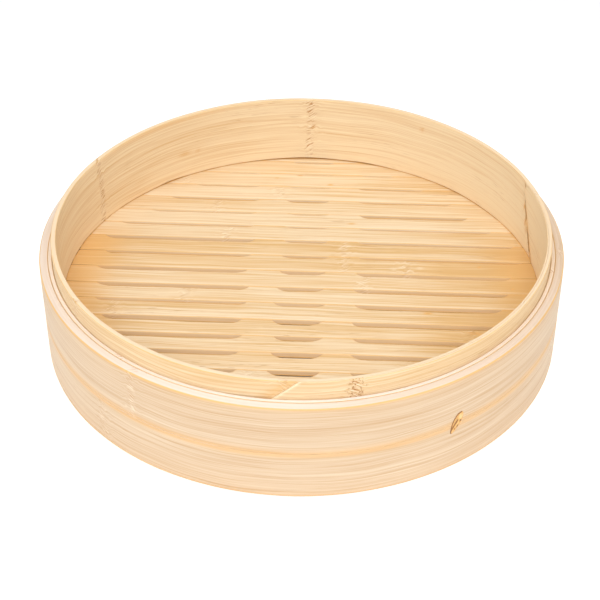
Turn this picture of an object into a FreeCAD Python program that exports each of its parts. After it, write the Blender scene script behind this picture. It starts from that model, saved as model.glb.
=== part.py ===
import FreeCAD, Part

import math
import os

# One tier of a bamboo steamer: bent hoops, a slatted floor and split-bamboo pegs.
# Millimetres, +Z up, origin at the middle of the underside. The floor slats run along X.
# Azimuths are in degrees, counter-clockwise from +X as seen from above.

# ---- driving dimensions ----
TIER_RADIUS = 150.0          # outside of the wall
WALL_HEIGHT = 60.7           # underside to the shoulder that the next tier stands on
COLLAR_RISE = 11.2           # collar standing above the shoulder
RECESS_DEPTH = 12.5          # room under the floor for the collar of the tier below
FIT_GAP = 0.05               # left between pieces that touch

OUTER_HOOP_THICK = 5.3
COURSE_SEAM_Z = 30.0         # where the two courses of the outer hoop meet
LINER_THICK = 2.35
RECESS_RELIEF = 0.6          # liner pared thinner over the recess, so that tiers lift apart
COLLAR_THICK = 3.05
COLLAR_SCRAPE = 0.6          # collar scraped back where it stands above the shoulder
SEAT_RING_THICK = 4.2
SEAT_RING_HEIGHT = 11.8
EDGE_ROUND = 0.6             # softened arris of every hoop
SEAM_BEVEL = 0.5             # arris where the two courses meet
SHOULDER_ROUND = 1.2         # larger round on the outside top and bottom corners

SLAT_THICK = 3.2
SLAT_BEVEL = 0.8             # worn top arris on the front edge of each slat
SLAT_ROUND = 0.3
# Widths from the second slat at the back to the last but one at the front: they are split by
# hand, so they differ. The first and the last slat fill what is left against the wall.
BACK_SLAT_EDGE_Y = 135.4
SLAT_WIDTHS = (14.9, 15.6, 15.4, 15.5, 14.5, 15.2, 16.0, 16.0, 16.5,
               14.8, 16.3, 14.9, 14.7, 15.3, 15.5, 15.4, 15.4)
SLAT_COUNT = len(SLAT_WIDTHS) + 2

NOTCH_DEPTH = 4.0            # steam slot cut in the back edge of each slat
NOTCH_RAMP = 8.0             # length of the S-shaped run-out at each end of a slot
CENTRE_NOTCH_HALF = 14.5
TAB_WIDTH = 16.3             # between the centre slot and a side slot
END_TAB = 16.5               # between a side slot and the collar
SHORTEST_NOTCH = 2.5 * NOTCH_RAMP

BAR_WIDTH = 14.0
BAR_THICK = 7.0

PEG_HEIGHT = 13.5
PEG_WIDTH = 4.0
PEG_PROUD = 0.5              # how far a peg's head stands out of the wall
PEG_Z = 31.0                 # middle of a peg: it ties both courses
PEG_LEAN = 9.0               # degrees off upright
PEG_AZIMUTHS = {"wall_peg_front": -54.5, "wall_peg_back_right": 66.0, "wall_peg_back_left": 146.0}

# ---- worked out ----
OUTER_HOOP_INNER_R = TIER_RADIUS - OUTER_HOOP_THICK
LINER_OUTER_R = OUTER_HOOP_INNER_R - FIT_GAP
LINER_INNER_R = LINER_OUTER_R - LINER_THICK
RECESS_R = LINER_INNER_R + RECESS_RELIEF
COLLAR_OUTER_R = LINER_INNER_R - FIT_GAP
COLLAR_INNER_R = COLLAR_OUTER_R - COLLAR_THICK
COLLAR_FREE_R = COLLAR_OUTER_R - COLLAR_SCRAPE
COLLAR_TOP_Z = WALL_HEIGHT + COLLAR_RISE
FLOOR_R = LINER_INNER_R - 2 * FIT_GAP
SEAT_TOP_Z = RECESS_DEPTH + SEAT_RING_HEIGHT
SLAT_BOTTOM_Z = SEAT_TOP_Z + 2 * FIT_GAP
FLOOR_Z = SLAT_BOTTOM_Z + SLAT_THICK
BAR_X = CENTRE_NOTCH_HALF + TAB_WIDTH / 2

# ---- where each bent strip laps over itself ----
# Each lap is a long scarf. The outer ply begins at `start` and the inner ply ends at `end`.
LAP_GAP = 0.1
CURVE_STEP = 12.0            # degrees between the points that a lap's curve goes through
OUTER_LAPS = {"outer_hoop_upper": (48.0, 84.0), "outer_hoop_lower": (108.0, 142.0)}
LINER_LAP = (20.0, 60.0)
SEAT_LAP = (200.0, 236.0)
COLLAR_LAP = (-88.0, 18.5)   # at the collar's top edge
COLLAR_PLY_END = 1.4         # thickness left at each end of the collar's strip
COLLAR_START_LEAN = 21.0     # degrees of azimuth that the outer end drifts, top to bottom
COLLAR_END_LEAN = 6.5        # the same for the inner end
COLLAR_DIP = 18.0            # run over which the strip dives under its own end


def polar(radius, azimuth, z=0.0):
    """Point at a radius and azimuth."""
    angle = math.radians(azimuth)
    return FreeCAD.Vector(radius * math.cos(angle), radius * math.sin(angle), z)


def curve_through(points):
    """Smooth edge through points."""
    curve = Part.BSplineCurve()
    curve.interpolate(points)
    return curve.toShape()


def region(inner, outer, first, last, bottom, top):
    """Upright solid between two radius functions of azimuth, from azimuth first to last."""
    steps = max(4, math.ceil((last - first) / CURVE_STEP))
    azimuths = [first + (last - first) * n / steps for n in range(steps + 1)]
    inside = [polar(inner(a), a, bottom) for a in azimuths]
    outside = [polar(outer(a), a, bottom) for a in reversed(azimuths)]
    edges = [
        curve_through(inside),
        Part.makeLine(inside[-1], outside[0]),
        curve_through(outside),
        Part.makeLine(outside[-1], inside[0]),
    ]
    face = Part.Face(Part.Wire(edges))
    return face.extrude(FreeCAD.Vector(0, 0, top - bottom))


def edges_at(shape, radius, z):
    """Circular edges of a ring at a radius and height."""
    found = []
    for edge in shape.Edges:
        curve = edge.Curve
        if isinstance(curve, Part.Circle) and abs(curve.Radius - radius) < 1e-6:
            if abs(curve.Center.z - z) < 1e-6:
                found.append(edge)
    return found


def ring(inner, outer, bottom, top, rounds):
    """Plain hoop. `rounds` maps a corner (radius, z) to its rounding radius."""
    height = top - bottom
    base = FreeCAD.Vector(0, 0, bottom)
    solid = Part.makeCylinder(outer, height, base).cut(Part.makeCylinder(inner, height, base))
    for (radius, z), size in rounds.items():
        solid = solid.makeFillet(size, edges_at(solid, radius, z))
    return solid


def scarf_line(inner, outer, lap, end_thick):
    """Radius of the split between the two plies of a lap, as a function of azimuth."""
    start, end = lap
    drop = outer - inner - 2 * end_thick
    return lambda azimuth: outer - end_thick - drop * (azimuth - start) / (end - start)


def lapped(solid, inner, outer, bottom, top, lap):
    """Opens a plain hoop along a scarf, so that it is one strip with overlapping ends."""
    start, end = lap
    tip = (outer - inner) / 3
    split = scarf_line(inner, outer, lap, tip)
    half = LAP_GAP / 2
    swing = math.degrees(LAP_GAP / outer)
    low = bottom - 1
    high = top + 1
    cuts = [
        region(lambda a: split(a) - half, lambda a: outer + 1, start - swing, start, low, high),
        region(lambda a: split(a) - half, lambda a: split(a) + half, start - swing, end + swing,
               low, high),
        region(lambda a: inner - 1, lambda a: split(a) + half, end, end + swing, low, high),
    ]
    for cut in cuts:
        solid = solid.cut(cut)
    return solid


def leaning_wedge(azimuth_top, lean, bottom, top, side):
    """Block on one side of a leaning cut. side -1 keeps lower azimuths, +1 keeps higher ones."""
    middle = azimuth_top - lean / 2
    half_run = math.radians(lean / 2) * COLLAR_OUTER_R
    reach = 90.0 * side
    corners = [(half_run, top), (-half_run, bottom), (reach, bottom), (reach, top)]
    points = [FreeCAD.Vector(TIER_RADIUS - 30, t, z) for t, z in corners]
    face = Part.Face(Part.makePolygon(points + points[:1]))
    block = face.extrude(FreeCAD.Vector(60, 0, 0))
    block.rotate(FreeCAD.Vector(0, 0, 0), FreeCAD.Vector(0, 0, 1), middle)
    return block


def collar_hoop():
    """Tall inner hoop. Its strip has a long lap with a diagonal end outside and inside."""
    inner, outer = COLLAR_INNER_R, COLLAR_OUTER_R
    bottom, top = FLOOR_Z + FIT_GAP, COLLAR_TOP_Z
    low, high = bottom - 1, top + 1
    start, end = COLLAR_LAP
    first = start - COLLAR_START_LEAN
    split = scarf_line(inner, outer, COLLAR_LAP, COLLAR_PLY_END)
    half = LAP_GAP / 2
    solid = ring(inner, outer, bottom, WALL_HEIGHT, {})
    free = ring(inner, COLLAR_FREE_R, WALL_HEIGHT, top,
                {(inner, top): EDGE_ROUND, (COLLAR_FREE_R, top): EDGE_ROUND})
    solid = solid.fuse(free).removeSplitter()

    def dive(azimuth):
        """Outer face of the strip where it dives under the outer ply."""
        share = (azimuth - (first - COLLAR_DIP)) / COLLAR_DIP
        return outer + (split(first) - outer) * share

    def rise(azimuth):
        """Inner face of the strip where it comes out from behind the inner ply."""
        share = (azimuth - end) / COLLAR_DIP
        return split(end) + (inner - split(end)) * share

    outside = leaning_wedge(start, COLLAR_START_LEAN, low, high, -1)
    inside = leaning_wedge(end, COLLAR_END_LEAN, low, high, 1)
    last = end - COLLAR_END_LEAN
    cuts = [
        region(lambda a: split(a) - half, lambda a: split(a) + half, first, end, low, high),
        region(dive, lambda a: outer + 2, first - COLLAR_DIP, first, low, high),
        region(split, lambda a: outer + 2, first, start + 2, low, high).common(outside),
        region(lambda a: inner - 2, split, last - 2, end, low, high).common(inside),
        region(lambda a: inner - 2, rise, end, end + COLLAR_DIP, low, high),
    ]
    for cut in cuts:
        solid = solid.cut(cut)
    return solid


def outer_course(name, bottom, top):
    """One course of the thick outer hoop, with slots for the pegs."""
    inner, outer = OUTER_HOOP_INNER_R, TIER_RADIUS
    seam = bottom if bottom > 0 else top
    free = top if bottom > 0 else bottom
    solid = ring(inner, outer, bottom, top, {(outer, free): SHOULDER_ROUND, (inner, free): EDGE_ROUND})
    solid = solid.makeChamfer(SEAM_BEVEL, edges_at(solid, outer, seam))
    return drilled(lapped(solid, inner, outer, bottom, top, OUTER_LAPS[name]))


def liner_hoop():
    """Thin hoop inside the outer hoop, open at the bottom for the tier below."""
    inner, outer = LINER_INNER_R, LINER_OUTER_R
    solid = ring(inner, outer, 0.0, WALL_HEIGHT, {(inner, WALL_HEIGHT): EDGE_ROUND})
    solid = solid.cut(Part.makeCylinder(RECESS_R, RECESS_DEPTH))
    solid = solid.makeFillet(EDGE_ROUND, edges_at(solid, RECESS_R, 0.0))
    return drilled(lapped(solid, inner, outer, 0.0, WALL_HEIGHT, LINER_LAP))


def seat_ring():
    """Lower inner hoop that carries the slat ends, notched for the cross bars."""
    outer = FLOOR_R
    inner = outer - SEAT_RING_THICK
    solid = ring(inner, outer, RECESS_DEPTH, SEAT_TOP_Z, {(inner, RECESS_DEPTH): EDGE_ROUND})
    solid = lapped(solid, inner, outer, RECESS_DEPTH, SEAT_TOP_Z, SEAT_LAP)
    for side in (-1, 1):
        width = BAR_WIDTH + 2 * FIT_GAP
        corner = FreeCAD.Vector(side * BAR_X - width / 2, -TIER_RADIUS, SEAT_TOP_Z - BAR_THICK - FIT_GAP)
        solid = solid.cut(Part.makeBox(width, 2 * TIER_RADIUS, BAR_THICK + 1, corner))
    return solid


def cross_bar(side):
    """Bar under the floor, set into the seat ring at both ends."""
    corner = FreeCAD.Vector(side * BAR_X - BAR_WIDTH / 2, -TIER_RADIUS, SEAT_TOP_Z - BAR_THICK)
    bar = Part.makeBox(BAR_WIDTH, 2 * TIER_RADIUS, BAR_THICK, corner)
    lower = [e for e in bar.Edges if e.Vertexes[0].Z == e.Vertexes[-1].Z == corner.z and e.Length > 99]
    bar = bar.makeFillet(2.0, lower)
    floor_disc = Part.makeCylinder(FLOOR_R, WALL_HEIGHT)
    return bar.common(floor_disc)


def notch(first, last, back_edge):
    """Steam slot in the back edge of a slat, with S-shaped ends, as a cutting solid."""
    z = SLAT_BOTTOM_Z - 1
    over = back_edge + 1
    half_ramp = NOTCH_RAMP / 2
    half_deep = NOTCH_DEPTH / 2
    bow = 0.29 * half_deep       # rise at the middle of each half of the S

    def point(x, depth):
        return FreeCAD.Vector(x, back_edge - depth, z)

    def run_out(x, way):
        """Two arcs from the back edge down to the full depth, going towards `way`."""
        high = (point(x, 0), point(x + way * half_ramp / 2, half_deep / 2 - bow / 2),
                point(x + way * half_ramp, half_deep))
        low = (high[2], point(x + way * 1.5 * half_ramp, 1.5 * half_deep + bow / 2),
               point(x + way * NOTCH_RAMP, NOTCH_DEPTH))
        return [Part.Arc(*high).toShape(), Part.Arc(*low).toShape()]

    edges = run_out(first, 1)
    edges.append(Part.makeLine(point(first + NOTCH_RAMP, NOTCH_DEPTH), point(last - NOTCH_RAMP, NOTCH_DEPTH)))
    edges.extend(run_out(last, -1))
    corners = [point(last, 0), FreeCAD.Vector(last, over, z), FreeCAD.Vector(first, over, z), point(first, 0)]
    for start, end in zip(corners, corners[1:]):
        edges.append(Part.makeLine(start, end))
    face = Part.Face(Part.Wire(Part.__sortEdges__(edges)))
    return face.extrude(FreeCAD.Vector(0, 0, SLAT_THICK + 2))


def slat(front_edge, back_edge):
    """Floor slat between two values of y. It runs under the collar to the liner."""
    front = front_edge + FIT_GAP
    back = back_edge - FIT_GAP
    top = FLOOR_Z
    profile = [
        (front, SLAT_BOTTOM_Z), (back, SLAT_BOTTOM_Z), (back, top - SLAT_ROUND),
        (back - SLAT_ROUND, top), (front + SLAT_BEVEL, top), (front, top - SLAT_BEVEL),
    ]
    points = [FreeCAD.Vector(-TIER_RADIUS, y, z) for y, z in profile]
    board = Part.Face(Part.makePolygon(points + points[:1])).extrude(FreeCAD.Vector(2 * TIER_RADIUS, 0, 0))
    inside_wall = COLLAR_INNER_R ** 2 - max(abs(front), abs(back)) ** 2
    if inside_wall > 0:
        reach = math.sqrt(inside_wall)
        if reach > CENTRE_NOTCH_HALF + NOTCH_RAMP:
            board = board.cut(notch(-CENTRE_NOTCH_HALF, CENTRE_NOTCH_HALF, back))
        near = CENTRE_NOTCH_HALF + TAB_WIDTH
        far = reach - END_TAB
        if far - near > SHORTEST_NOTCH:
            board = board.cut(notch(near, far, back))
            board = board.cut(notch(-far, -near, back))
    floor_disc = Part.makeCylinder(FLOOR_R, WALL_HEIGHT)
    return board.common(floor_disc)


def slat_edges():
    """Values of y between slats, from the back wall to the front wall."""
    edges = [FLOOR_R + FIT_GAP, BACK_SLAT_EDGE_Y]
    for width in SLAT_WIDTHS:
        edges.append(edges[-1] - width)
    edges.append(-FLOOR_R - FIT_GAP)
    return edges


def peg_shape(azimuth, grow=0.0):
    """Split-bamboo peg: a pointed oval section, driven in through the wall."""
    half_tall = PEG_HEIGHT / 2 + grow
    half_wide = PEG_WIDTH / 2 + grow
    base_r = LINER_INNER_R - (2 if grow else 0)
    length = TIER_RADIUS + PEG_PROUD - base_r + (2 if grow else 0)
    tips = [FreeCAD.Vector(0, 0, s * half_tall) for s in (-1, 1)]
    sides = [FreeCAD.Vector(0, s * half_wide, 0) for s in (-1, 1)]
    outline = [Part.Arc(tips[0], sides[1], tips[1]).toShape(), Part.Arc(tips[1], sides[0], tips[0]).toShape()]
    solid = Part.Face(Part.Wire(outline)).extrude(FreeCAD.Vector(length, 0, 0))
    solid.rotate(FreeCAD.Vector(0, 0, 0), FreeCAD.Vector(1, 0, 0), PEG_LEAN)
    solid.translate(FreeCAD.Vector(base_r, 0, PEG_Z))
    solid.rotate(FreeCAD.Vector(0, 0, 0), FreeCAD.Vector(0, 0, 1), azimuth)
    return solid


def drilled(solid):
    """Cuts the peg holes."""
    for azimuth in PEG_AZIMUTHS.values():
        solid = solid.cut(peg_shape(azimuth, FIT_GAP))
    return solid


def main():
    nodes = {
        "outer_hoop_lower": outer_course("outer_hoop_lower", 0.0, COURSE_SEAM_Z - FIT_GAP / 2),
        "outer_hoop_upper": outer_course("outer_hoop_upper", COURSE_SEAM_Z + FIT_GAP / 2, WALL_HEIGHT),
        "liner_hoop": liner_hoop(),
        "collar_hoop": collar_hoop(),
        "seat_ring": seat_ring(),
        "cross_bar_left": cross_bar(-1),
        "cross_bar_right": cross_bar(1),
    }
    edges = slat_edges()
    for number in range(SLAT_COUNT):
        nodes["slat_%02d" % (number + 1)] = slat(edges[number + 1], edges[number])
    for name, azimuth in PEG_AZIMUTHS.items():
        nodes[name] = peg_shape(azimuth)

    os.makedirs("parts", exist_ok=True)
    for name, shape in nodes.items():
        solid = shape.Solids[0] if len(shape.Solids) == 1 else shape
        print(name, "solids", len(shape.Solids), "valid", solid.isValid(), "volume %.0f" % solid.Volume)
        solid.exportStep("parts/%s.step" % name)


main()
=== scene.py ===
import math
import random

import bpy
import numpy as np
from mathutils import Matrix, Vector


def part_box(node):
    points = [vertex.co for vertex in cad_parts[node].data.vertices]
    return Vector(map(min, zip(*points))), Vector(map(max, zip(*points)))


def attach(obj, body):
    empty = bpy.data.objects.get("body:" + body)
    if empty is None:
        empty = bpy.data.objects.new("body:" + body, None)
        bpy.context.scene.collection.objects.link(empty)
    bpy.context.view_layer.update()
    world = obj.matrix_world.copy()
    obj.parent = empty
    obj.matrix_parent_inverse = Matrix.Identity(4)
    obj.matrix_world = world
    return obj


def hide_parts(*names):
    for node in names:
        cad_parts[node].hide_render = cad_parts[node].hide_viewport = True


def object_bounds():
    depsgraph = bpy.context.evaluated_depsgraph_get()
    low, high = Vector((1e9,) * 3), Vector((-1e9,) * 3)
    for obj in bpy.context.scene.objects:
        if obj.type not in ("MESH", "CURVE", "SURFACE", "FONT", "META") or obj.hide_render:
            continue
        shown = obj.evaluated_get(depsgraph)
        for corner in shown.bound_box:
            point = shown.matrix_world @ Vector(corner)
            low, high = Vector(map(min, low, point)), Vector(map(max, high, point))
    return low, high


# One tier of a bamboo steamer. Lengths are in millimetres until a mesh is made, +Z is up, and
# azimuths are in degrees, counter-clockwise from +X. The floor slats run along X.

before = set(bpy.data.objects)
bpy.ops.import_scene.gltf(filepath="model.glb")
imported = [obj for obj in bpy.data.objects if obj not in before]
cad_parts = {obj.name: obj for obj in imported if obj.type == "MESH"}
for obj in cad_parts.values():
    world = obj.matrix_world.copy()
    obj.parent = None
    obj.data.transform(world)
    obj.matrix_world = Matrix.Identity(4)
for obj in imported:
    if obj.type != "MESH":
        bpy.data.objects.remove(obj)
cad_low, cad_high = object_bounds()

MM = 0.001
SEED = 11


def cad_box(node):
    """Lowest and highest corner of a CAD node, in millimetres."""
    low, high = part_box(node)
    return np.array(low) / MM, np.array(high) / MM


def smooth(x):
    """Smooth step from 0 to 1."""
    x = np.clip(x, 0.0, 1.0)
    return x * x * (3 - 2 * x)


def bump(x, centre, half_width):
    """Rounded bump of height 1."""
    return np.exp(-((x - centre) / half_width) ** 2)


def harmonics(seed, orders, size):
    """Smooth random function of azimuth in degrees, within about plus or minus size."""
    waves = wander(seed, [2 * math.pi / order for order in orders], size)

    def value(azimuth):
        return waves(np.radians(azimuth))
    return value


def wander(seed, wavelengths, size):
    """Smooth random function with the given wavelengths, within about plus or minus size."""
    dice = random.Random(seed)
    terms = []
    for wavelength in wavelengths:
        share = dice.uniform(0.4, 1.0) / len(wavelengths)
        phase = dice.uniform(0, 2 * math.pi)
        terms.append((2 * math.pi / wavelength, share, phase))

    def value(x):
        return size * sum(share * np.sin(k * x + phase) for k, share, phase in terms)
    return value


# ---------------------------------------------------------------- camera
CAMERA_PLACE = (0.03635, -0.6936, 0.54148)
CAMERA_AZIMUTH = 93.07
CAMERA_PITCH = 37.16
CAMERA_LENS = 88.0
CAMERA_SENSOR = 36.0


def make_camera():
    data = bpy.data.cameras.new("camera")
    data.lens = CAMERA_LENS
    data.sensor_width = CAMERA_SENSOR
    camera = bpy.data.objects.new("camera", data)
    bpy.context.scene.collection.objects.link(camera)
    azimuth = math.radians(CAMERA_AZIMUTH)
    pitch = math.radians(CAMERA_PITCH)
    level = math.cos(pitch)
    look = Vector((math.cos(azimuth) * level, math.sin(azimuth) * level, -math.sin(pitch)))
    camera.location = CAMERA_PLACE
    camera.rotation_euler = look.to_track_quat("-Z", "Y").to_euler()
    bpy.context.scene.camera = camera


# ---------------------------------------------------------------- node graphs
class Graph:
    """Short way to write a shader's nodes."""

    def __init__(self, name):
        self.material = bpy.data.materials.new(name)
        self.material.use_nodes = True
        self.tree = self.material.node_tree
        self.tree.nodes.clear()

    def put(self, socket, value):
        if isinstance(value, bpy.types.NodeSocket):
            self.tree.links.new(value, socket)
        elif value is not None:
            socket.default_value = value

    def node(self, kind, inputs=(), **settings):
        made = self.tree.nodes.new("ShaderNode" + kind)
        for key, value in settings.items():
            setattr(made, key, value)
        for key, value in dict(inputs).items():
            self.put(made.inputs[key], value)
        return made

    def math(self, operation, a, b=None, clamp=False):
        made = self.node("Math", operation=operation, use_clamp=clamp)
        for socket, value in zip(made.inputs, (a, b)):
            self.put(socket, value)
        return made.outputs[0]

    def times(self, a, b, clamp=False):
        return self.math("MULTIPLY", a, b, clamp=clamp)

    def plus(self, a, b, clamp=False):
        return self.math("ADD", a, b, clamp=clamp)

    def less(self, a, b, clamp=False):
        return self.math("SUBTRACT", a, b, clamp=clamp)

    def mix(self, factor, a, b):
        """Colour a where factor is 0 and b where it is 1."""
        made = self.node("Mix", data_type="RGBA")
        self.put(made.inputs["Factor"], factor)
        self.put(made.inputs[6], a)
        self.put(made.inputs[7], b)
        return made.outputs[2]

    def ramp(self, value, low, high, out_low=0.0, out_high=1.0):
        """Smooth ramp of value from low to high."""
        made = self.node("MapRange", interpolation_type="SMOOTHSTEP")
        for key, number in (("Value", value), ("From Min", low), ("From Max", high),
                            ("To Min", out_low), ("To Max", out_high)):
            self.put(made.inputs[key], number)
        return made.outputs["Result"]

    def attribute(self, name):
        """The three numbers of a vector attribute."""
        vector = self.node("Attribute", attribute_name=name).outputs["Vector"]
        return self.node("SeparateXYZ", {"Vector": vector}).outputs

    def noise(self, x, y, z, detail=2.0, roughness=0.5):
        vector = self.node("CombineXYZ", {"X": x, "Y": y, "Z": z}).outputs[0]
        made = self.node("TexNoise", {
            "Vector": vector, "Scale": 1.0, "Distortion": 0.0,
            "Detail": detail, "Roughness": roughness,
        })
        return made.outputs["Fac"]


def colour(red, green, blue):
    return (red, green, blue, 1.0)


# Pale, middle and warm colour of the fibres, and the colour of a freshly cut face.
PALETTES = {
    "wall": ((0.74, 0.59, 0.425), (0.66, 0.49, 0.325), (0.56, 0.355, 0.19), (0.86, 0.77, 0.705)),
    "liner": ((0.80, 0.64, 0.42), (0.74, 0.55, 0.33), (0.66, 0.42, 0.18), (0.88, 0.79, 0.74)),
    "collar": ((0.90, 0.745, 0.51), (0.81, 0.61, 0.375), (0.71, 0.47, 0.23), (0.86, 0.665, 0.46)),
    # The slat's cut colour is darker than its fibres: painted shade for the faces inside its
    # slots.
    "slat": ((0.835, 0.67, 0.46), (0.76, 0.545, 0.31), (0.67, 0.42, 0.175), (0.68, 0.47, 0.28)),
    "frame": ((0.86, 0.68, 0.45), (0.79, 0.57, 0.34), (0.68, 0.43, 0.20), (0.84, 0.66, 0.42)),
    "peg": ((0.86, 0.60, 0.28), (0.74, 0.46, 0.17), (0.55, 0.30, 0.10), (0.70, 0.42, 0.16)),
}
FIBRE_END = colour(0.50, 0.27, 0.10)
AMBER = colour(0.76, 0.43, 0.15)
# dark brown of dark marks, and of painted shade in crevices, gaps and shadow lines
GRIME_AND_SHADE = colour(0.30, 0.14, 0.05)
NODE_PALE = colour(0.95, 0.84, 0.66)
NODE_DARK = colour(0.50, 0.24, 0.08)
NODE_DOT = colour(0.42, 0.20, 0.07)
GILT = colour(0.78, 0.49, 0.18)
SHEEN = 0.32


def node_marks(g, base, along, across, seed, node_gap, node_ink, fineness):
    """Add a node to a colour: a pale scar crossed by short oblique ticks. Gives its height too."""
    sway = g.less(g.noise(0.0, g.times(across, 210.0), g.plus(seed, 2.2), 2.0), 0.5)
    place = g.math("ABSOLUTE", g.plus(node_gap, g.times(sway, 0.009)))
    scar = g.less(1.0, g.ramp(place, 0.0010, 0.0036))
    veer = g.less(g.noise(0.0, g.times(across, 150.0), g.plus(seed, 7.9), 1.0), 0.5)
    slant = g.plus(across, g.times(g.plus(g.times(veer, 2.5), 0.6), node_gap))
    fine = 1300.0 * fineness
    ticks = g.noise(g.times(along, 150.0), g.times(slant, fine), g.plus(seed, 4.4), 1.5)
    pale_ticks = g.times(g.ramp(ticks, 0.46, 0.34), scar, clamp=True)
    dark_ticks = g.times(g.ramp(ticks, 0.52, 0.68), g.times(scar, node_ink), clamp=True)
    base = g.mix(g.times(pale_ticks, 0.5), base, NODE_PALE)
    base = g.mix(dark_ticks, base, NODE_DARK)

    # dark dots around the node, where its ink passes 1
    dots = g.noise(g.times(along, 1000.0), g.times(across, 1000.0), g.plus(seed, 3.3), 1.0)
    spread = g.less(1.0, g.ramp(place, 0.0020, 0.0062))
    speckled = g.times(spread, g.less(node_ink, 1.0, clamp=True))
    base = g.mix(g.times(g.ramp(dots, 0.55, 0.66), speckled), base, NODE_DOT)
    return base, g.times(ticks, g.times(scar, 0.8))


def bamboo(palette, contrast=1.0, specks=0.5, roughness=0.5, gilt=0.6, fineness=1.0):
    """Split bamboo. Fibres run along the first number of attribute 'grain'.

    grain: along, across and a seed, in metres. marks: signed distance to the nearest node in
    metres, arris, freshly cut face. The third attribute: lighter or darker and warmer, which carry
    the tone together with painted light and shade, then the darkness of the node's marks. The
    numbers given to streaks are cycles per metre along and across the fibres."""
    pale, middle, warm, cut = (colour(*rgb) for rgb in PALETTES[palette])
    g = Graph("bamboo_" + palette)
    along, across, seed = g.attribute("grain")
    node_gap, arris, fresh = g.attribute("marks")
    lighter, warmer, node_ink = g.attribute("tone_and_shading")

    # fibres drift a little sideways, and crowd together at a node
    near_node = g.less(1.0, g.ramp(g.math("ABSOLUTE", node_gap), 0.002, 0.012))
    drift = g.less(g.noise(g.times(along, 22.0), g.times(across, 45.0), seed, 1.0), 0.5)
    kink = g.less(g.noise(g.times(along, 210.0), g.times(across, 300.0), seed, 1.0), 0.5)
    shift = g.plus(g.times(drift, 0.0035), g.times(g.times(kink, near_node), 0.0045))
    side = g.plus(across, shift)

    def streaks(along_scale, across_scale, offset, detail, rough=0.5):
        return g.noise(g.times(along, along_scale), g.times(side, across_scale),
                       g.plus(seed, offset), detail, rough)

    def centred(value, amount):
        return g.times(g.less(value, 0.5), amount * contrast)

    fine = streaks(17.0, 1050.0 * fineness, 0.0, 2.0, 0.6)
    medium = streaks(9.0, 420.0 * fineness, 3.7, 2.0, 0.55)
    broad = streaks(5.0, 120.0, 8.1, 1.0)
    cloud = streaks(16.0, 42.0, 5.3, 1.0)
    wide = g.plus(centred(broad, 0.6 / fineness), centred(cloud, 0.4 / fineness))
    tone = g.plus(g.plus(centred(fine, 1.6), centred(medium, 1.1)), wide)
    body = g.node("ValToRGB", {"Fac": g.plus(g.plus(tone, 0.5), lighter)})
    stops = body.color_ramp.elements
    stops[0].position, stops[0].color = 0.08, warm
    stops[1].position, stops[1].color = 0.92, pale
    stops.new(0.5).color = middle
    base = body.outputs["Color"]

    # short dark fibre ends, in patches
    patches = g.ramp(streaks(9.0, 70.0, 6.6, 1.0), 0.42, 0.68)
    dashes = g.ramp(streaks(75.0, 1300.0, 1.9, 2.0, 0.55), 0.60, 0.74)
    dark = g.times(dashes, g.times(patches, specks), clamp=True)
    base = g.mix(dark, base, FIBRE_END)

    # freshly cut faces (on the slats a darker cut colour, painted shade inside the slots),
    # then warm areas, which also carry painted warm bounce light, and, where warmer passes 1,
    # dark brown for dark marks and for painted shade in crevices and gaps
    streaky = g.plus(centred(medium, 1.2), g.times(lighter, -0.8), clamp=True)
    base = g.mix(g.times(fresh, 0.9, clamp=True), base, g.mix(streaky, cut, middle))
    base = g.mix(g.times(warmer, 1.0, clamp=True), base, AMBER)
    base = g.mix(g.ramp(warmer, 1.0, 2.0), base, GRIME_AND_SHADE)
    base, scar_height = node_marks(g, base, along, across, seed, node_gap, node_ink, fineness)

    # arrises tinted a little golden
    base = g.mix(g.ramp(arris, 0.25, 0.90, 0.0, gilt), base, GILT)

    height = g.plus(g.times(fine, 0.5), g.plus(g.times(medium, 0.9), scar_height))
    height = g.less(height, g.times(dark, 0.7))
    relief = g.node("Bump", {"Strength": 0.5, "Distance": 0.00022, "Height": height})
    shader = g.node("BsdfPrincipled", {
        "Base Color": base,
        "Roughness": g.ramp(medium, 0.2, 0.8, roughness - 0.07, roughness + 0.10),
        "Specular IOR Level": SHEEN,
        "Normal": relief.outputs["Normal"],
    })
    g.put(g.node("OutputMaterial").inputs["Surface"], shader.outputs[0])
    return g.material


# ---------------------------------------------------------------- meshes
CORNERS = ((0, 0), (1, 0), (1, 1), (0, 1))     # inner or outer side, lower or upper level
CORNER_STEPS = 4
SHARP_ANGLE = math.radians(38)


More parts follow.
